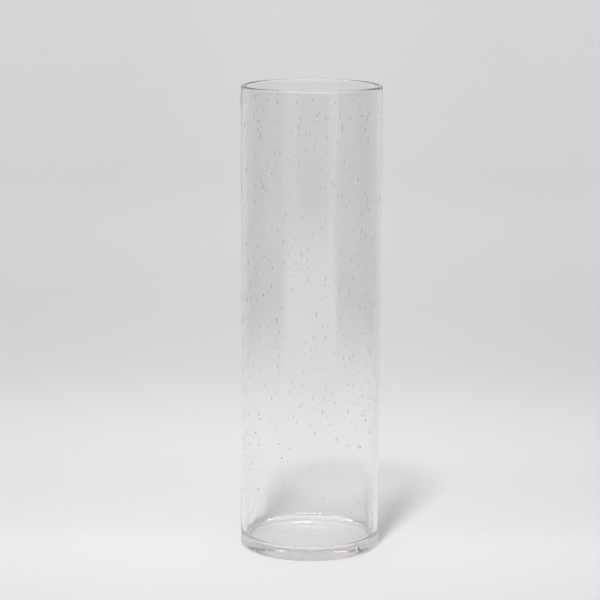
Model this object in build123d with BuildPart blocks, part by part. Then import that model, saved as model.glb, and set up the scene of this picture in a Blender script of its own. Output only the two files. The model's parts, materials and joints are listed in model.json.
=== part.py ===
# Glass cylinder vase: a straight blown wall on a thick base, one piece of glass kept as two solids.
# Millimetres. The origin is the centre of the ring it stands on, and +Z runs up its axis.
import os
from build123d import *

# Overall sizes
outer_diameter = 120.0
height = 400.0

# Thickness of the glass
wall_thickness = 4.2
base_thickness = 9.0

# Roundings: the fire-polished lip, and the outer edge under the vase
lip_rounding = 1.6
heel_radius = 2.5

# Inside the bottom corner the glass thickens along a quarter ellipse, and the floor rises in the middle
corner_reach = 5.0
corner_rise = 5.5
floor_dome = 0.8

# Under the base a shallow hollow leaves a ring to stand on
standing_ring_width = 10.0
hollow_depth = 1.0

outer_radius = outer_diameter / 2
inner_radius = outer_radius - wall_thickness
floor_radius = inner_radius - corner_reach
ring_outer_radius = outer_radius - heel_radius
hollow_radius = ring_outer_radius - standing_ring_width
wall_foot_height = base_thickness + corner_rise
lip_fillet = min(lip_rounding, 0.45 * wall_thickness)  # both edges of the lip share one wall

# Thick base, with its heel, standing ring, hollow underside, domed floor and the corner up to the wall
with BuildPart() as vase_base:
    with BuildSketch(Plane.XZ) as base_section:
        with BuildLine() as base_outline:
            TangentArc((0, hollow_depth), (hollow_radius, 0), tangent=(1, 0))
            Line((hollow_radius, 0), (ring_outer_radius, 0))
            CenterArc((ring_outer_radius, heel_radius), heel_radius, -90, 90)
            Line((outer_radius, heel_radius), (outer_radius, wall_foot_height))
            Line((outer_radius, wall_foot_height), (inner_radius, wall_foot_height))
            EllipticalCenterArc((floor_radius, wall_foot_height), corner_reach, corner_rise, -90, arc_size=90)
            TangentArc((0, base_thickness + floor_dome), (floor_radius, base_thickness), tangent=(1, 0))
            Line((0, base_thickness + floor_dome), (0, hollow_depth))
        make_face()
    revolve(axis=Axis.Z)

# Straight wall, standing on the base's upper ring, with a rounded lip
with BuildPart() as vase_wall:
    with BuildSketch(Plane.XY.offset(wall_foot_height)) as wall_ring:
        Circle(outer_radius)
        Circle(inner_radius, mode=Mode.SUBTRACT)
    extrude(amount=height - wall_foot_height)
    lip_edges = vase_wall.edges().group_by(Axis.Z)[-1]
    fillet(lip_edges, lip_fillet)

vase_base.part.label = "vase_base"
vase_wall.part.label = "vase_wall"

os.makedirs("parts", exist_ok=True)
export_step(vase_base.part, "parts/vase_base.step")
export_step(vase_wall.part, "parts/vase_wall.step")
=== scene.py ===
import json
import math

import bpy
import numpy as np
from mathutils import Matrix, Vector


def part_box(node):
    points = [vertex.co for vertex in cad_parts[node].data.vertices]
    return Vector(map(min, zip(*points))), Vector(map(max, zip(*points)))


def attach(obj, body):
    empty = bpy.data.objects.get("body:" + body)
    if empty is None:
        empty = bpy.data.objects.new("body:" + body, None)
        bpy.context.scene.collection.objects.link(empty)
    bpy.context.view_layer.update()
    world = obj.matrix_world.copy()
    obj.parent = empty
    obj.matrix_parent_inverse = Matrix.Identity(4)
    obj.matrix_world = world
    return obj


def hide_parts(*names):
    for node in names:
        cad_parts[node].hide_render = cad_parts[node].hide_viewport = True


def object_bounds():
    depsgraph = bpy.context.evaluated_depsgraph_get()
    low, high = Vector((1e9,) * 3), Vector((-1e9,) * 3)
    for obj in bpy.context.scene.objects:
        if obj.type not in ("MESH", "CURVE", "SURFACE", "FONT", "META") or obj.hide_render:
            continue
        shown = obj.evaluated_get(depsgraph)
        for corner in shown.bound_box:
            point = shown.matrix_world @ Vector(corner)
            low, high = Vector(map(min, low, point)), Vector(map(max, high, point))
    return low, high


# A clear seeded-glass cylinder vase, blown and fire-polished, in a pale studio.
# Metres and the CAD frame: the vase stands on z = 0 with its axis on Z, and its front looks along -Y.
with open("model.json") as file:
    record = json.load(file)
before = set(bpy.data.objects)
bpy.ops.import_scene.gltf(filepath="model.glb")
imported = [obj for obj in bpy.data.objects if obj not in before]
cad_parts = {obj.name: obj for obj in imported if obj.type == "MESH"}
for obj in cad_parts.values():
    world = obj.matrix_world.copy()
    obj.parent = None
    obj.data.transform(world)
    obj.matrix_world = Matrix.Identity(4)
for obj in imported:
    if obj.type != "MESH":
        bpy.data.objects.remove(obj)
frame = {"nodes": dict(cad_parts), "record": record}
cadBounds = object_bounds()
scene = bpy.context.scene
print("frame loaded:", sorted(frame["nodes"]))


# Helpers for meshes

def ellipseArc(centre, radii, startDeg, endDeg, count):
    # points (r, z) on an ellipse: centre + (radiusR * cos a, radiusZ * sin a), a from start to end
    a = np.radians(np.linspace(startDeg, endDeg, count))
    return np.stack([centre[0] + radii[0] * np.cos(a), centre[1] + radii[1] * np.sin(a)], axis=1)


def straight(start, end, count):
    # evenly spaced points on the line from start to end: (1 - t) * start + t * end
    t = np.linspace(0, 1, count)[:, None]
    return (1 - t) * np.array(start, float) + t * np.array(end, float)


def joinRuns(*runs):
    # one outline from several runs, each run's first point dropped where it repeats the last one
    return np.concatenate([runs[0]] + [run[1:] for run in runs[1:]])


def meshFromArrays(name, points, faces):
    mesh = bpy.data.meshes.new(name)
    mesh.from_pydata(points.tolist(), [], faces)
    mesh.polygons.foreach_set("use_smooth", np.ones(len(mesh.polygons), bool))
    mesh.validate()
    mesh.update()
    piece = bpy.data.objects.new(name, mesh)
    scene.collection.objects.link(piece)
    return piece


def gridFaces(rows, columns):
    # quads between neighbouring rings; the columns wrap round, so the seam is closed
    i, j = np.meshgrid(np.arange(rows - 1), np.arange(columns), indexing="ij")
    k = (j + 1) % columns
    low, high = i * columns, (i + 1) * columns
    return np.stack([low + j, low + k, high + k, high + j], axis=-1).reshape(-1, 4)


# Helpers for nodes

def addNode(tree, kind, **values):
    # values are node properties; socket values go in as inputs={"name or number": value or output}
    node = tree.nodes.new(kind)
    inputs = values.pop("inputs", {})
    for name, value in values.items():
        setattr(node, name, value)
    for socket, value in inputs.items():
        if isinstance(value, bpy.types.NodeSocket):
            tree.links.new(value, node.inputs[socket])
        else:
            node.inputs[socket].default_value = value
    return node


def compute(tree, operation, a, b=0.0, c=0.0):
    # one Math node, given numbers or outputs
    return addNode(tree, "ShaderNodeMath", operation=operation, inputs={0: a, 1: b, 2: c}).outputs[0]


def product(tree, *values):
    # all the values multiplied together, from the left
    total = values[0]
    for value in values[1:]:
        total = compute(tree, "MULTIPLY", total, value)
    return total


def opposite(tree, value):
    # 1 - value
    return compute(tree, "SUBTRACT", 1.0, value)


def ease(tree, value, low, high, fromTone=0.0, toTone=1.0):
    # smooth step from one tone to another as value goes from low to high
    return addNode(tree, "ShaderNodeMapRange", interpolation_type="SMOOTHSTEP",
                   inputs={0: value, 1: low, 2: high, 3: fromTone, 4: toTone}).outputs[0]


def between(tree, value, low, high, edge):
    # 1 where value lies between low and high, with soft edges
    fromLow = ease(tree, value, low - edge, low + edge)
    return product(tree, fromLow, ease(tree, value, high + edge, high - edge))


def blend(tree, share, a, b):
    # a number: a where share is 0, b where it is 1
    return addNode(tree, "ShaderNodeMix", inputs={0: share, 2: a, 3: b}).outputs[0]


def blendColour(tree, share, a, b):
    return addNode(tree, "ShaderNodeMix", data_type="RGBA", inputs={0: share, 6: a, 7: b}).outputs[2]


def dimmed(tree, colour, strength):
    # colour * strength
    return addNode(tree, "ShaderNodeVectorMath", operation="SCALE",
                   inputs={0: colour, "Scale": strength}).outputs[0]


def noise(tree, place, scale, detail, roughness=0.5):
    return addNode(tree, "ShaderNodeTexNoise", inputs={"Vector": place, "Scale": scale, "Detail": detail,
                                                       "Roughness": roughness}).outputs["Fac"]


def split(tree, vector):
    return addNode(tree, "ShaderNodeSeparateXYZ", inputs={0: vector}).outputs


def axisDistance(tree, x, y):
    # the square root of x * x + y * y
    return compute(tree, "SQRT", compute(tree, "MULTIPLY_ADD", x, x, product(tree, y, y)))


def degreesRight(tree, x, y):
    # degrees to the right of the front, which is -Y
    return compute(tree, "DEGREES", compute(tree, "ARCTAN2", x, product(tree, y, -1.0)))


def newMaterial(name):
    material = bpy.data.materials.new(name)
    material.use_nodes = True
    material.node_tree.nodes.clear()
    return material, material.node_tree


# Camera

cameraSettings = {
    "distance": 1.967,       # from the vase's axis, level
    "height": 0.583,
    "pitchDown": 10.59,      # degrees
    "turnLeft": 0.27,        # degrees, which puts the vase a little right of the middle
    "roll": 0.25,            # degrees
    "lens": 139.9,           # mm
    "sensorWidth": 36.0,     # mm
    "farthest": 50.0,
}


def makeCamera(settings):
    data = bpy.data.cameras.new("camera")
    data.lens = settings["lens"]
    data.sensor_width = settings["sensorWidth"]
    data.dof.use_dof = False
    data.clip_end = settings["farthest"]
    camera = bpy.data.objects.new("camera", data)
    scene.collection.objects.link(camera)
    turn = Matrix.Rotation(math.radians(settings["turnLeft"]), 4, "Z")
    tilt = Matrix.Rotation(math.radians(90 - settings["pitchDown"]), 4, "X")
    roll = Matrix.Rotation(math.radians(settings["roll"]), 4, "Z")
    place = Matrix.Translation(Vector((0, -settings["distance"], settings["height"])))
    camera.matrix_world = place @ turn @ tilt @ roll
    scene.camera = camera


makeCamera(cameraSettings)
print("camera placed")


# The vase: one closed skin of glass

wallLow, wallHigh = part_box("vase_wall")
baseLow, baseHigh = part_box("vase_base")
bore = next(mount for mount in frame["record"]["mounts"] if mount["name"] == "inside_bore")

vaseSettings = {
    "outerRadius": (cadBounds[1][0] - cadBounds[0][0]) / 2,
    "innerRadius": bore["dims"]["r_mm"] / 1000,
    "height": wallHigh[2],
    "footHeight": baseHigh[2],     # where the thick inner corner meets the even wall
    "baseThickness": 0.009,
    "floorDome": 0.0008,
    "cornerReach": 0.0050,         # how far the inner corner thickens inwards at the floor
    "heelRadius": 0.0025,
    "standingRing": 0.010,         # width of the flat ring it stands on
    "hollowDepth": 0.001,
    "lipHeight": 0.0014,           # rise of the rounded lip above the straight wall
    "columns": 192,
    "rows": {"hollow": 12, "ring": 6, "heel": 9, "outside": 88,
             "lip": 17, "inside": 83, "corner": 16, "floor": 20},
    # a seed close under the skin on the left side, which lifts the skin over it
    "blister": {"side": 180.0, "height": 0.388, "lift": 0.0009, "spread": 0.0035, "stretch": 1.4,
                "depth": 0.0009, "halfLength": 0.0022, "halfWidth": 0.0006},
}

wobbleSettings = {
    "randomSeed": 11,
    # (waves round the vase, waves per metre up it): broad swells on the outside, finer ripple inside
    "outside": [(2, 1.5), (3, 2.0), (5, 3.0), (9, 2.0)],
    "outsideSize": 0.00009,
    "inside": [(2, 1.0), (3, 2.0), (5, 2.0), (8, 3.0), (13, 5.0), (19, 9.0), (26, 4.0)],
    "insideSize": 0.00028,
    "heelFade": 0.02,                # the walls' swells grow over this height above the heel
    "lipFade": 0.006,                # and shrink over this height below the lip,
    "lipShare": 0.15,                # to this share
    "floorWaves": (11, 17, 24, 33),  # per metre
    "floorSize": 0.00012,
    "cornerFade": 0.014,             # the floor's swells die out over this rise
}


def vaseOutline(s):
    # the section of the glass as (r, z), from the middle of the hollow underneath, out round the heel,
    # up the outside, over the lip, down the inside, round the corner and in to the middle of the floor
    outer, inner, rows = s["outerRadius"], s["innerRadius"], s["rows"]
    ringOuter = outer - s["heelRadius"]
    ringInner = ringOuter - s["standingRing"]
    floorRadius = inner - s["cornerReach"]
    cornerRadii = (s["cornerReach"], s["footHeight"] - s["baseThickness"])
    shoulder = s["height"] - s["lipHeight"]
    lipMiddle, lipHalf = (outer + inner) / 2, (outer - inner) / 2

    # the hollow and the dome rise towards the middle as 1 - t * t
    inHollow = np.linspace(0, 1, rows["hollow"])[:, None]
    hollow = np.hstack([inHollow * ringInner, s["hollowDepth"] * (1 - inHollow ** 2)])
    ring = straight((ringInner, 0), (ringOuter, 0), rows["ring"])
    heel = ellipseArc((ringOuter, s["heelRadius"]), (s["heelRadius"],) * 2, -90, 0, rows["heel"])
    outside = straight((outer, s["heelRadius"]), (outer, shoulder), rows["outside"])
    lip = ellipseArc((lipMiddle, shoulder), (lipHalf, s["lipHeight"]), 0, 180, rows["lip"])
    inside = straight((inner, shoulder), (inner, s["footHeight"]), rows["inside"])
    corner = ellipseArc((floorRadius, s["footHeight"]), cornerRadii, 0, -90, rows["corner"])
    inFloor = np.linspace(1, 0, rows["floor"])[:, None]
    floor = np.hstack([inFloor * floorRadius, s["baseThickness"] + s["floorDome"] * (1 - inFloor ** 2)])

    runs = [hollow, ring, heel, outside, lip, inside, corner, floor]
    lipRow = sum(len(run) - 1 for run in runs[:4]) + len(lip) // 2   # rows past this one are the inside
    return joinRuns(*runs), lipRow


def wobble(theta, z, waves, rng, size):
    # a sum of sine waves round and up the wall: size / count * sin(k theta + m z + phase)
    total = np.zeros(np.broadcast(theta, z).shape)
    for around, up in waves:
        phase, stretch = rng.uniform(0, 2 * np.pi), 1 + 0.3 * rng.uniform(-1, 1)
        strength = rng.uniform(0.5, 1.0) / len(waves)
        total += strength * np.sin(around * theta + 2 * np.pi * up * z * stretch + phase)
    return size * total


def floorSwell(x, y, waves, rng):
    # a sum of sine waves across the floor, each in its own direction: sin(k (a x + b y) + phase) / k
    swell = np.zeros_like(x)
    for wavesPerMetre in waves:
        a, b, phase = rng.uniform(-1, 1), rng.uniform(-1, 1), rng.uniform(0, 2 * np.pi)
        swell += np.sin(2 * np.pi * wavesPerMetre * (a * x + b * y) + phase) * waves[0] / wavesPerMetre
    return swell


def vaseSurface(s, w):
    # the outline turned round Z, then pushed in and out a little: r + wobble(theta, z) on the walls,
    # and z + low swells of x and y on the inner floor
    outline, lipRow = vaseOutline(s)
    rng = np.random.default_rng(w["randomSeed"])
    theta = np.arange(s["columns"]) * 2 * np.pi / s["columns"]
    r = outline[1:-1, 0][:, None] + 0 * theta
    z = outline[1:-1, 1][:, None] + 0 * theta
    rows = np.arange(1, len(outline) - 1)[:, None] + 0 * theta
    isInside = rows > lipRow
    aboveHeel = np.clip((z - s["heelRadius"]) / w["heelFade"], 0, 1)
    belowLip = np.clip((s["height"] - z) / w["lipFade"], w["lipShare"], 1)
    outer = wobble(theta, z, w["outside"], rng, w["outsideSize"])
    inner = wobble(theta, z, w["inside"], rng, w["insideSize"])
    r = r + np.where(isInside, inner, outer) * (aboveHeel * belowLip)

    # the blister is a soft bump: lift * exp(-(distance / spread) squared)
    blister = s["blister"]
    away = s["outerRadius"] * (np.mod(theta - np.radians(blister["side"]) + np.pi, 2 * np.pi) - np.pi)
    upward = (z - blister["height"]) / blister["stretch"]
    lift = np.exp(-(away ** 2 + upward ** 2) / blister["spread"] ** 2)
    r = r + np.where(isInside, 0, blister["lift"] * lift)

    x, y = r * np.cos(theta), r * np.sin(theta)
    onFloor = isInside & (z < s["footHeight"])
    fade = np.clip(1 - (z - s["baseThickness"]) / w["cornerFade"], 0, 1)
    z = z + np.where(onFloor, w["floorSize"] * floorSwell(x, y, w["floorWaves"], rng) * fade, 0)

    # the two ends close on a pole each, under the hollow and in the middle of the floor
    points = np.stack([x, y, z], axis=-1).reshape(-1, 3)
    bottomPole, topPole = len(points), len(points) + 1
    points = np.vstack([points, [0, 0, outline[0, 1]], [0, 0, z[-1].mean()]])
    j = np.arange(s["columns"])
    k = (j + 1) % s["columns"]
    last = (len(outline) - 3) * s["columns"]
    bottomFan = np.stack([np.full_like(j, bottomPole), k, j], axis=1)
    topFan = np.stack([np.full_like(j, topPole), last + j, last + k], axis=1)
    return points, gridFaces(len(outline) - 2, s["columns"]).tolist() + bottomFan.tolist() + topFan.tolist()


# The air seeds: closed voids in the glass

seedSettings = {
    "randomSeed": 5,
    "around": 8,                       # facets round one seed
    "along": 5,                        # and rings along it
    "wallMargin": 0.0009,              # glass left between a seed and either face of the wall
    "halfLengths": (0.0004, 0.0038),   # the shortest and the longest
    # long thin seeds, drawn out up the wall; the half length's logarithm has this mean and spread
    "drawn": {"count": 500, "aboveFoot": 0.06, "belowTop": 0.006, "crowding": 0.85,
              "logHalfLength": (-6.65, 0.40), "halfWidth": (0.00017, 0.00040), "lean": 5},
    # small round seeds, most of them lower down; heights as shares of the wall
    "round": {"count": 90, "heights": (0.01, 0.62), "crowding": 1.3,
              "halfWidth": (0.00026, 0.00052), "stretch": (1.0, 1.7), "lean": 20},
    # seeds in the base, spread evenly over the disc inside this radius
    "inBase": {"count": 18, "heights": (0.0035, 0.0062), "radius": 0.05, "disc": (0.05, 1.0),
               "halfWidth": (0.00040, 0.0008), "stretch": 1.2, "lean": 30},
    # the larger seeds that show, in degrees and mm: round from +X, height, half length, half width, lean
    "large": [
        (203, 330, 3.2, 0.45, 25), (227, 319, 2.4, 0.35, 30), (230, 317, 2, 0.32, 25),
        (311, 326, 2.6, 0.32, 10), (316, 282, 2, 0.32, 12), (330, 273, 1.5, 0.32, -20),
        (221, 268, 1.6, 0.32, 5), (226, 259, 1.4, 0.35, 0), (198, 368, 2, 0.35, 8), (186, 366, 1.5, 0.3, 0),
        (201, 357, 1, 0.4, 60), (323, 357, 2.6, 0.25, -8), (265, 352, 2, 0.25, 10), (237, 252, 2, 0.28, 10),
        (307, 243, 1.5, 0.3, -10), (271, 239, 1.3, 0.3, 0), (327, 268, 2, 0.28, -20),
        (268, 246, 1.6, 0.25, 20), (209, 230, 2.4, 0.25, 0), (211, 223, 2, 0.25, 0), (303, 230, 3, 0.2, 5),
        (217, 346, 2, 0.22, 0), (259, 370, 2.5, 0.22, 0), (303, 378, 2.2, 0.25, 12), (217, 393, 2, 0.3, 0),
        (221, 395, 1.6, 0.3, 8), (320, 194, 1.6, 0.2, 0), (281, 238, 1.2, 0.22, 0), (280, 130, 2.6, 0.3, 0),
        (303, 129, 2.6, 0.28, 0), (207, 154, 0.7, 0.6, 0), (243, 177, 0.5, 0.45, 0),
        (231, 194, 0.5, 0.45, 0), (266, 190, 0.5, 0.41, 0), (312, 190, 0.5, 0.45, 0),
        (328, 178, 0.8, 0.68, 0), (330, 175, 0.5, 0.45, 0), (308, 152, 0.5, 0.45, 0),
        (323, 118, 0.98, 0.78, 0), (320, 126, 0.5, 0.45, 0), (207, 121, 0.7, 0.57, 0),
        (224, 120, 0.7, 0.53, 0), (218, 107, 0.84, 0.69, 0), (209, 95, 0.7, 0.63, 0),
        (243, 101, 0.7, 0.57, 0), (253, 98, 0.84, 0.73, 0), (270, 119, 0.7, 0.53, 0),
        (274, 112, 0.7, 0.53, 0), (316, 96, 0.84, 0.73, 0), (328, 106, 0.7, 0.53, 0),
        (209, 72, 0.7, 0.57, 0), (214, 79, 0.7, 0.63, 0), (195, 51, 0.7, 0.53, 0), (246, 89, 0.7, 0.53, 0),
        (222, 97, 0.56, 0.48, 0), (287, 119, 0.56, 0.42, 0), (257, 158, 0.4, 0.34, 0),
        (276, 168, 0.4, 0.34, 0), (222, 58, 0.7, 0.6, 0), (337, 64, 0.8, 0.6, 0), (314, 47, 0.7, 0.55, 0),
        (201, 83, 0.6, 0.5, 0), (73, 15, 0.6, 0.6, 0), (48, 15, 0.6, 0.6, 0), (236, 38, 0.5, 0.5, 0),
        (328, 150, 0.6, 0.55, 0), (334, 135, 0.7, 0.55, 0), (319, 140, 0.7, 0.5, 5),
        (205, 140, 0.6, 0.55, 0), (213, 132, 0.6, 0.5, 0)],
    "largeWidening": 1.35,             # on the half widths above
    "largeDepth": 0.5,                 # share of the wall's room that these seeds keep to
    # one open bubble low in the base, to the right of the front
    "baseBubble": {"side": 316.7, "height": 0.0052, "radius": 0.0530,
                   "halfLength": 0.0021, "halfWidth": 0.0024},
}


def seedPlaces(s, v):
    # one row per seed: angle round the vase, height, distance from the axis, half length, half width, lean
    rng = np.random.default_rng(s["randomSeed"])
    wallMiddle = (v["outerRadius"] + v["innerRadius"]) / 2
    wallRoom = (v["outerRadius"] - v["innerRadius"]) / 2 - s["wallMargin"]

    kind = s["drawn"]
    count = kind["count"]
    lowest, highest = v["footHeight"] + kind["aboveFoot"], v["height"] - kind["belowTop"]
    height = lowest + (highest - lowest) * rng.uniform(0, 1, count) ** kind["crowding"]
    drawn = [rng.uniform(0, 360, count), height, wallMiddle + wallRoom * rng.uniform(-1, 1, count),
             rng.lognormal(*kind["logHalfLength"], count), rng.uniform(*kind["halfWidth"], count),
             rng.normal(0, kind["lean"], count)]

    kind = s["round"]
    count = kind["count"]
    share = rng.uniform(*kind["heights"], count) ** kind["crowding"]
    height = v["footHeight"] + (v["height"] - v["footHeight"]) * share
    size = rng.uniform(*kind["halfWidth"], count)
    rounded = [rng.uniform(0, 360, count), height, wallMiddle + wallRoom * rng.uniform(-1, 1, count),
               size * rng.uniform(*kind["stretch"], count), size, rng.normal(0, kind["lean"], count)]

    angle, height, halfLength, halfWidth, lean = np.array(s["large"]).T
    depth = s["largeDepth"] * wallRoom * rng.uniform(-1, 1, len(angle))
    large = [angle, height / 1000, wallMiddle + depth, halfLength / 1000,
             s["largeWidening"] * halfWidth / 1000, lean]

    kind = s["inBase"]
    count = kind["count"]
    size = rng.uniform(*kind["halfWidth"], count)
    inBase = [rng.uniform(0, 360, count), rng.uniform(*kind["heights"], count),
              kind["radius"] * np.sqrt(rng.uniform(*kind["disc"], count)), size * kind["stretch"], size,
              rng.normal(0, kind["lean"], count)]

    blister, bubble = v["blister"], s["baseBubble"]
    single = [[blister["side"], blister["height"], v["outerRadius"] - blister["depth"],
               blister["halfLength"], blister["halfWidth"], 0.0],
              [bubble["side"], bubble["height"], bubble["radius"],
               bubble["halfLength"], bubble["halfWidth"], 0.0]]

    seeds = np.concatenate([np.stack(group, axis=1) for group in (drawn, rounded, large, inBase)] + [single])
    seeds[:, 3] = np.clip(seeds[:, 3], *s["halfLengths"])
    return seeds


def seedSurfaces(s, v):
    # every seed is an ellipsoid: centre + halfWidth * round the lean axis + halfLength * along it,
    # worked out for all seeds at once, on rings of latitude with a pole at each end
    seeds = seedPlaces(s, v)
    angle, height, radius, halfLength, halfWidth, lean = seeds.T
    angle, lean = np.radians(angle), np.radians(lean)
    outward = np.stack([np.cos(angle), np.sin(angle), 0 * angle], axis=1)
    sideways = np.stack([-np.sin(angle), np.cos(angle), 0 * angle], axis=1)
    up = np.array([0.0, 0.0, 1.0])
    long = np.cos(lean)[:, None] * up + np.sin(lean)[:, None] * sideways
    across = np.cos(lean)[:, None] * sideways - np.sin(lean)[:, None] * up
    centre = radius[:, None] * outward + height[:, None] * up

    latitude = np.linspace(-np.pi / 2, np.pi / 2, s["along"] + 2)[1:-1]
    turn = np.arange(s["around"]) * 2 * np.pi / s["around"]
    ringX = (np.cos(latitude)[:, None] * np.cos(turn)).ravel()
    ringY = (np.cos(latitude)[:, None] * np.sin(turn)).ravel()
    ringZ = (np.sin(latitude)[:, None] + 0 * turn).ravel()
    unit = np.stack([np.append(ringX, [0, 0]), np.append(ringY, [0, 0]), np.append(ringZ, [-1, 1])], axis=1)
    points = (centre[:, None, :]
              + unit[None, :, 0, None] * (halfWidth[:, None] * across)[:, None, :]
              + unit[None, :, 1, None] * (halfWidth[:, None] * outward)[:, None, :]
              + unit[None, :, 2, None] * (halfLength[:, None] * long)[:, None, :])

    each = unit.shape[0]
    n = s["around"]
    j = np.arange(n)
    k = (j + 1) % n
    quads = gridFaces(s["along"], n)
    lastRing = (s["along"] - 1) * n
    caps = np.concatenate([np.stack([np.full(n, each - 2), k, j], axis=1),
                           np.stack([np.full(n, each - 1), lastRing + j, lastRing + k], axis=1)])
    offset = (np.arange(len(seeds)) * each)[:, None, None]
    allQuads = (quads[None] + offset).reshape(-1, 4)
    allCaps = (caps[None] + offset).reshape(-1, 3)
    return points.reshape(-1, 3), allQuads.tolist() + allCaps.tolist(), len(seeds)


def facesLookOut(points, faces):
    # the sign of six times the volume of the fans from the origin: positive when the faces look outwards
    total = 0.0
    for size in (3, 4):
        some = np.array([face for face in faces if len(face) == size])
        a = points[some[:, 0]]
        for step in range(1, size - 1):
            b, c = points[some[:, step]], points[some[:, step + 1]]
            total += np.einsum("ij,ij->i", a, np.cross(b, c)).sum()
    return total > 0


def makeVase(s, w, seeds):
    # the skin's faces look outwards, and the seeds' faces inwards, because the glass is outside them
    skinPoints, skinFaces = vaseSurface(s, w)
    if not facesLookOut(skinPoints, skinFaces):
        skinFaces = [face[::-1] for face in skinFaces]
    seedPoints, seedFaces, seedCount = seedSurfaces(seeds, s)
    if facesLookOut(seedPoints, seedFaces):
        seedFaces = [face[::-1] for face in seedFaces]
    seedFaces = [[corner + len(skinPoints) for corner in face] for face in seedFaces]
    vase = meshFromArrays("vase_glass", np.vstack([skinPoints, seedPoints]), skinFaces + seedFaces)
    triangles = sum(len(face) - 2 for face in skinFaces + seedFaces)
    print("vase made:", triangles, "triangles,", seedCount, "seeds")
    return vase


vase = makeVase(vaseSettings, wobbleSettings, seedSettings)


# Glass

glassSettings = {
    "ior": 1.5,
    "tintLight": (0.998, 0.997, 0.998, 1),
    "tintDeep": (0.990, 0.988, 0.989, 1),         # in the greyer cords
    "tintBase": (0.978, 0.968, 0.972, 1),         # where the glass is thick
    "baseHeights": (0.0150, 0.0125),              # from no base tint to all of it
    "absorption": (0.80, 0.782, 0.788, 1),
    "density": 8.0,
    # fine drawing lines and broader cords: noise stretched up the wall
    "drawnOut": (1.0, 1.0, 0.12),
    "lines": {"scale": 210.0, "detail": 2.0, "roughness": 0.45},
    "cords": {"scale": 55.0, "detail": 1.0},
    "cordLevels": (0.40, 0.72),                   # noise where a cord's tint begins, and where it is full
    "cordRelief": 3.0,                            # times the lines' relief
    "rippleDepth": 0.00002,                       # metres of relief
    # the standing ring is scuffed below this height
    "scuffHeight": 0.0007,
    "specks": {"scale": 900.0, "detail": 4.0, "roughness": 0.65},
    "speckLevels": (0.50, 0.66),
    "scuffRoughness": 0.35,
}

# How much light one face of the glass lets into the shadow.
shadowSettings = {
    "faceOn": (0.958, 0.958, 0.960, 1),
    "edgeOn": (0.72, 0.72, 0.725, 1),
    "facing": (0.50, 1.0),                        # from face on to edge on
    "far": (0.88, 0.88, 0.883, 1),                # at the wall furthest from the light, near the lip
    "farHeights": (0.17, 0.32),
    "outsideFrom": 0.058,                         # the outside is further than this from the axis
    "baseHeights": (0.0045, 0.0030),              # the base gathers light below these heights,
    "gatherFade": (0.005, 0.045, 1.26, 1.60),     # most of all at the back
}


def shadowTone(tree, place, s):
    edgeOn = addNode(tree, "ShaderNodeLayerWeight", inputs={"Blend": 0.5}).outputs["Facing"]
    tone = blendColour(tree, ease(tree, edgeOn, *s["facing"]), s["faceOn"], s["edgeOn"])
    # a shadow ray meets the furthest wall from outside, and the glass turns more light aside up there
    x, y, z = split(tree, place)
    onOutside = compute(tree, "GREATER_THAN", axisDistance(tree, x, y), s["outsideFrom"])
    entering = opposite(tree, addNode(tree, "ShaderNodeNewGeometry").outputs["Backfacing"])
    far = product(tree, onOutside, entering, ease(tree, z, *s["farHeights"]))
    tone = blendColour(tree, far, tone, s["far"])
    gathered = blend(tree, ease(tree, z, *s["baseHeights"]), 1.0, ease(tree, y, *s["gatherFade"]))
    return dimmed(tree, tone, gathered)


def makeGlass(s, shadow):
    material, tree = newMaterial("clear_seeded_glass")
    place = addNode(tree, "ShaderNodeTexCoord").outputs["Object"]
    height = split(tree, place)["Z"]

    # faint upright ripples
    drawnOut = addNode(tree, "ShaderNodeMapping", inputs={0: place, 3: s["drawnOut"]}).outputs[0]
    lines = noise(tree, drawnOut, **s["lines"])
    cords = noise(tree, drawnOut, **s["cords"])
    relief = compute(tree, "MULTIPLY_ADD", cords, s["cordRelief"], lines)
    bump = addNode(tree, "ShaderNodeBump", inputs={"Strength": 1.0, "Distance": s["rippleDepth"],
                                                   "Height": relief}).outputs[0]

    # scuffs: fine scratches and dull specks on the ring that the vase stands and slides on
    specks = ease(tree, noise(tree, place, **s["specks"]), *s["speckLevels"])
    roughness = product(tree, ease(tree, height, s["scuffHeight"], 0.0), specks, s["scuffRoughness"])

    # the melt isn't quite even: cords of slightly greyer glass run up the wall
    tint = blendColour(tree, ease(tree, cords, *s["cordLevels"]), s["tintLight"], s["tintDeep"])
    tint = blendColour(tree, ease(tree, height, *s["baseHeights"]), tint, s["tintBase"])

    glass = addNode(tree, "ShaderNodeBsdfPrincipled", inputs={
        "Base Color": tint, "Roughness": roughness, "Normal": bump, "Metallic": 0.0, "IOR": s["ior"],
        "Transmission Weight": 1.0})
    clear = addNode(tree, "ShaderNodeBsdfTransparent", inputs={0: shadowTone(tree, place, shadow)})
    isShadow = addNode(tree, "ShaderNodeLightPath").outputs["Is Shadow Ray"]
    both = addNode(tree, "ShaderNodeMixShader",
                   inputs={0: isShadow, 1: glass.outputs[0], 2: clear.outputs[0]})
    inside = addNode(tree, "ShaderNodeVolumeAbsorption",
                     inputs={"Color": s["absorption"], "Density": s["density"]})
    addNode(tree, "ShaderNodeOutputMaterial",
            inputs={"Surface": both.outputs[0], "Volume": inside.outputs[0]})
    return material


vase.data.materials.append(makeGlass(glassSettings, shadowSettings))
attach(vase, "root")
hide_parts("vase_wall", "vase_base")
print("glass made")


# Studio: a pale sweep all round, under a softbox

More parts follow.
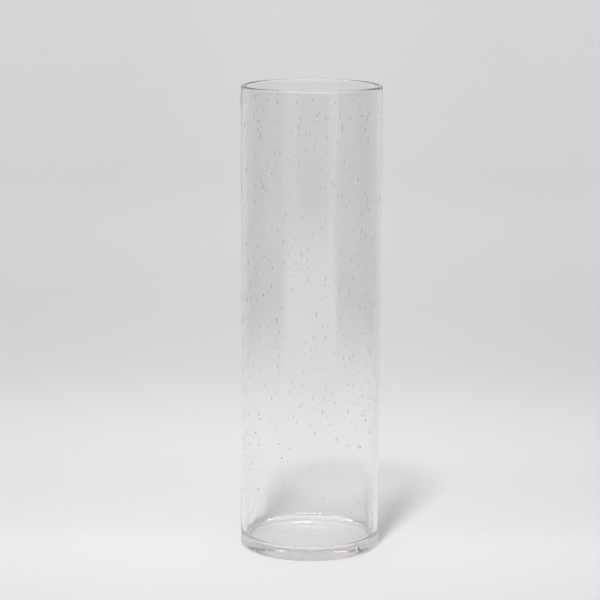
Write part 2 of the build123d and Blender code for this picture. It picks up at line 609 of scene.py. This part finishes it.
sweepSettings = {
    "middle": 0.02,              # radius of the one face in the middle
    "floorRadius": 2.6,
    "coveRadius": 0.8,
    "wallTop": 3.2,
    "drop": -0.0003,             # keeps the floor just clear of the standing ring
    "rings": (24, 24, 6),        # on the floor, the cove and the wall
    "columns": 96,
    "paper": (0.990, 0.988, 1.0),
    "albedo": 0.80,
    "paintedShadeFront": (-0.30, 0.02, 0.84, 1.0),   # painted shade: darker towards the edges
    "paintedShadeSides": (0.05, 0.42, 1.0, 0.95),
    "paintedShadeSteps": [(0.0, 0.06, 0.975), (0.12, 0.40, 1.08), (0.45, 0.75, 0.95)],   # and painted shade, uneven from front to back
    "paintedGlow": (0.10, 2.0, 0.0, 0.246),         # painted light: the paper itself glows, more so away from the vase
    "paintedGlowSides": 0.5,                        # and does so more slowly towards the sides
}

# Painted reflection: where the glass mirrors the sweep, the sweep glows in these tones instead, standing in
# for black flags round a white table, two upright reflector boards in front and a bright window to the
# right; it lights nothing.
# Tones are radiance, angles are degrees to the right of the front (-Y), lengths are metres from the axis.
paintedReflectionSettings = {
    "table": 0.80,
    "room": 0.15,
    "tableReach": (0.6, 1.2),                # where the table gives way to the room
    "front": {"from": -47.0, "to": 43.0, "edge": 1.5, "tone": 0.20, "reach": (1.25, 2.1)},
    "boards": [(-47.0, -38.0, 0.48), (26.0, 43.0, 0.55)],
    "boardEdge": 1.0,
    "boardReach": (1.2, 2.0),
    "pale": 0.77,                            # the tone high up all round
    "paleAbove": (0.30, 0.60),
    "window": {"from": 37.0, "to": 70.0, "low": 0.9, "high": 2.6, "edges": (1.0, 0.02), "tone": 1.6},
    "behind": (101.0, 144.0),                # further round than this the sweep is mirrored as it is
    "mostTurns": 8.0,                        # light that has turned this often is left as it is
}


def sweepSurface(s):
    # the sweep's section turned round Z: flat floor, quarter-circle cove, upright wall
    floorEnd, wallRadius = s["floorRadius"], s["floorRadius"] + s["coveRadius"]
    wallFoot = s["drop"] + s["coveRadius"]
    onFloor, onCove, onWall = s["rings"]
    outline = joinRuns(straight((s["middle"], s["drop"]), (floorEnd, s["drop"]), onFloor),
                       ellipseArc((floorEnd, wallFoot), (s["coveRadius"],) * 2, -90, 0, onCove),
                       straight((wallRadius, wallFoot), (wallRadius, s["wallTop"]), onWall))
    theta = np.arange(s["columns"]) * 2 * np.pi / s["columns"]
    r, z = outline[:, :1], outline[:, 1:]
    points = np.stack([r * np.cos(theta), r * np.sin(theta), z + 0 * theta], axis=-1).reshape(-1, 3)
    middleFace = list(range(s["columns"]))[::-1]
    return points, gridFaces(len(outline), s["columns"]).tolist() + [middleFace]


def paintedReflectionTone(tree, place, m):
    # the painted reflection at a place on the sweep: the tone of the room as the glass mirrors it
    x, y, z = split(tree, place)
    reach = axisDistance(tree, x, y)
    angle = degreesRight(tree, x, y)
    front = m["front"]
    tone = blend(tree, between(tree, angle, front["from"], front["to"], front["edge"]),
                 ease(tree, reach, *m["tableReach"], m["table"], m["room"]),
                 ease(tree, reach, *front["reach"], m["table"], front["tone"]))
    far = ease(tree, reach, *m["boardReach"])
    for start, end, boardTone in m["boards"]:
        board = product(tree, between(tree, angle, start, end, m["boardEdge"]), far)
        tone = blend(tree, board, tone, boardTone)
    high = ease(tree, z, *m["paleAbove"])
    tone = blend(tree, high, tone, m["pale"])
    window = m["window"]
    inWindow = product(tree, between(tree, angle, window["from"], window["to"], window["edges"][0]),
                       between(tree, z, window["low"], window["high"], window["edges"][1]))
    tone = blend(tree, inWindow, tone, window["tone"])
    # low down behind the vase the glass mirrors the sweep as it is
    behind = ease(tree, compute(tree, "ABSOLUTE", angle), *m["behind"])
    return tone, product(tree, behind, opposite(tree, high))


def makePaper(s, m):
    material, tree = newMaterial("studio_paper")
    place = addNode(tree, "ShaderNodeTexCoord").outputs["Object"]
    x, y, z = split(tree, place)

    # the lit paper, with painted shade: its albedo fades towards the edges and in steps from front to back;
    # and painted light: it glows, more so away from the vase
    aside = compute(tree, "ABSOLUTE", x)
    paintedShade = product(tree, ease(tree, y, *s["paintedShadeFront"]), ease(tree, aside, *s["paintedShadeSides"]))
    for start, end, ratio in s["paintedShadeSteps"]:
        paintedShade = product(tree, paintedShade, ease(tree, y, start, end, 1.0, ratio))
    colour = dimmed(tree, s["paper"], product(tree, paintedShade, s["albedo"]))
    # painted light: an emission on the paper, growing away from the vase
    away = compute(tree, "MULTIPLY_ADD", product(tree, x, x), s["paintedGlowSides"], product(tree, y, y))
    paintedGlow = ease(tree, compute(tree, "SQRT", away), *s["paintedGlow"])
    matt = addNode(tree, "ShaderNodeBsdfDiffuse", inputs={"Color": colour})
    paintedGlowShader = addNode(tree, "ShaderNodeEmission", inputs={"Color": s["paper"] + (1,), "Strength": paintedGlow})
    lit = addNode(tree, "ShaderNodeAddShader", inputs={0: matt.outputs[0], 1: paintedGlowShader.outputs[0]})

    # What passes through the glass crosses an even number of faces, and a mirror image has one turn more.
    path = addNode(tree, "ShaderNodeLightPath").outputs
    isOdd = compute(tree, "MODULO", path["Ray Depth"], 2.0)
    fewTurns = compute(tree, "LESS_THAN", path["Ray Depth"], m["mostTurns"])
    notLighting = compute(tree, "LESS_THAN", path["Diffuse Depth"], 0.5)
    tone, asItIs = paintedReflectionTone(tree, place, m)
    # where the glass mirrors the paper, it shows a painted reflection: a glow in the room's tones, which
    # lights nothing
    showsPaintedReflection = product(tree, isOdd, fewTurns, notLighting, opposite(tree, asItIs))
    paintedReflection = addNode(tree, "ShaderNodeEmission", inputs={"Color": s["paper"] + (1,), "Strength": tone})
    both = addNode(tree, "ShaderNodeMixShader",
                   inputs={0: showsPaintedReflection, 1: lit.outputs[0], 2: paintedReflection.outputs[0]})
    addNode(tree, "ShaderNodeOutputMaterial", inputs={"Surface": both.outputs[0]})
    material.cycles.emission_sampling = "NONE"
    return material


floor = meshFromArrays("studio_sweep", *sweepSurface(sweepSettings))
floor.data.materials.append(makePaper(sweepSettings, paintedReflectionSettings))

overheadSettings = {
    "dim": (0.160, 0.1595, 0.162, 1),        # the room overhead, as it lights the paper
    "paintedCeiling": (0.85, 0.85, 0.855, 1),       # painted reflection: the room overhead as the glass shows it, brighter than it lights the paper
    # painted highlight: a softbox patch that only the glass shows, by its direction: degrees to the right of
    # the front, and degrees above level
    "paintedBoxSides": (-32.0, 44.0, 3.0),          # with the softness of its edges
    "paintedBoxRise": (52.0, 66.0, 1.5),
    "paintedBoxTone": (9.0, 9.0, 9.0, 1),
}


def makeOverhead(s):
    world = bpy.data.worlds.new("studio")
    world.use_nodes = True
    world.cycles.sampling_method = "NONE"
    tree = world.node_tree
    # painted reflection and painted highlight: the glass sees a bright ceiling and a softbox patch overhead,
    # while the paper is lit only by the dim room
    depth = addNode(tree, "ShaderNodeLightPath").outputs["Diffuse Depth"]
    notLighting = compute(tree, "LESS_THAN", depth, 0.5)
    overhead = blendColour(tree, notLighting, s["dim"], s["paintedCeiling"])
    x, y, z = split(tree, addNode(tree, "ShaderNodeTexCoord").outputs["Generated"])
    side = degreesRight(tree, x, y)
    rise = compute(tree, "DEGREES", compute(tree, "ARCSINE", z))
    paintedBox = product(tree, between(tree, side, *s["paintedBoxSides"]), between(tree, rise, *s["paintedBoxRise"]))
    overhead = blendColour(tree, product(tree, paintedBox, notLighting), overhead, s["paintedBoxTone"])
    tree.links.new(overhead, tree.nodes["Background"].inputs["Color"])
    scene.world = world


makeOverhead(overheadSettings)

keySettings = {
    "place": (-0.12, -0.65, 1.6),            # front left and high
    "target": (0, 0.6, 0),
    "size": 0.17,
    "power": 25.6,
}


def makeKey(s):
    data = bpy.data.lights.new("key", "AREA")
    data.shape = "DISK"
    data.size = s["size"]
    data.energy = s["power"]
    key = bpy.data.objects.new("key", data)
    facing = (Vector(s["place"]) - Vector(s["target"])).to_track_quat("Z", "Y").to_matrix().to_4x4()
    key.matrix_world = Matrix.Translation(Vector(s["place"])) @ facing
    key.visible_camera = False
    key.visible_glossy = False               # the painted softbox patch in the world is what shines in the glass
    key.visible_transmission = False
    scene.collection.objects.link(key)


makeKey(keySettings)
scene.view_settings.view_transform = "Standard"
scene.view_settings.look = "None"
scene.cycles.max_bounces = 120      # light that enters the lip runs down inside the wall to the base
scene.cycles.glossy_bounces = 120
scene.cycles.transmission_bounces = 32
print("studio lit")
